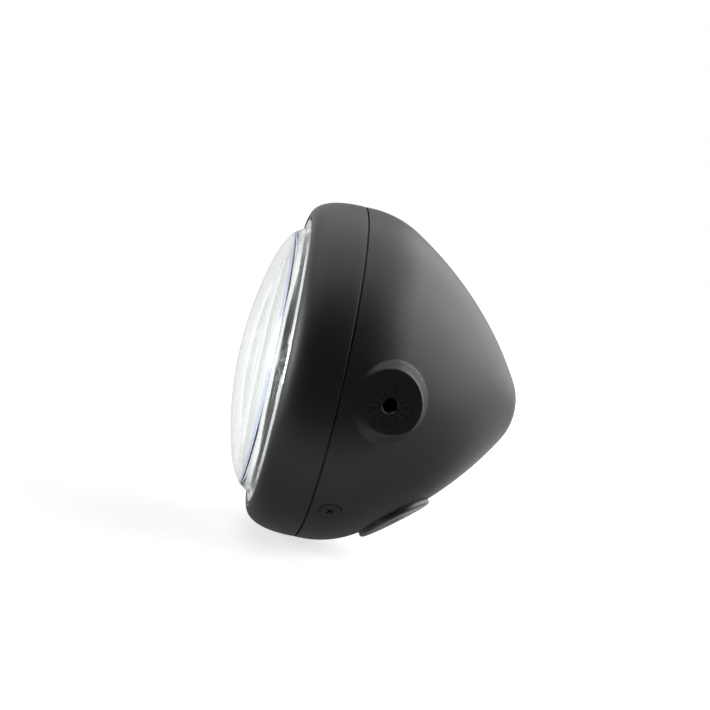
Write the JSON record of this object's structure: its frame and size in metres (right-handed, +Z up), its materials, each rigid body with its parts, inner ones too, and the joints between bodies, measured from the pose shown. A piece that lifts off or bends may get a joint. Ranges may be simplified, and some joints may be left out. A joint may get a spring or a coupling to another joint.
{
  "type": "round motorcycle headlight",
  "caption": "Round side-mounted motorcycle headlight with a black bowl housing, black rim, clear domed glass, mirror reflector and halogen bulb.",
  "frame": {"origin": "where the lamp's axis crosses the line of the two M8 side mounts", "axes": "-Y is the way the glass faces, +Y runs back to the nose of the housing, +X is the lamp's right-hand side mount seen in the picture, +Z is up"},
  "size_m": [0.1656, 0.1399, 0.165],
  "materials": {
    "housing_paint": "satin black paint",
    "rim_paint": "satin black paint",
    "black_screw": "black painted steel",
    "bush_steel": "steel, painted over on its face",
    "zinc_steel": "zinc plated",
    "clear_glass": "clear",
    "bulb_glass": "clear",
    "black_rubber": "matte",
    "plug_rubber": "slightly glossy",
    "aluminised_steel": "vacuum aluminised mirror",
    "tungsten": "drawn wire",
    "dark_ceramic": "matte",
    "terminal_brass": "tinned brass",
    "holder_plastic": "moulded"
  },
  "bodies": {
    "root": {"housing": "housing_paint", "mount_bush_right": "bush_steel", "mount_bush_left": "bush_steel", "rim": "rim_paint", "rim_hook": "zinc_steel", "rim_tab_right": "zinc_steel", "rim_tab_left": "zinc_steel", "tab_nuts": "zinc_steel", "rim_screws": "black_screw", "ring_lugs": "zinc_steel", "retaining_ring": "zinc_steel", "ring_screws": "zinc_steel", "lens": "clear_glass", "lens_gasket": "black_rubber", "reflector": "aluminised_steel", "bulb_collar": "zinc_steel", "bulb_lock_ring": "zinc_steel", "bulb_base": "zinc_steel", "bulb_glass": "bulb_glass", "bulb_filaments": "tungsten", "bulb_shield": "tungsten", "bulb_insulator": "dark_ceramic", "bulb_terminals": "terminal_brass", "bulb_boot": "black_rubber", "position_holder": "holder_plastic", "position_bulb": "bulb_glass", "bottom_plug": "plug_rubber"}
  },
  "joints": []
}
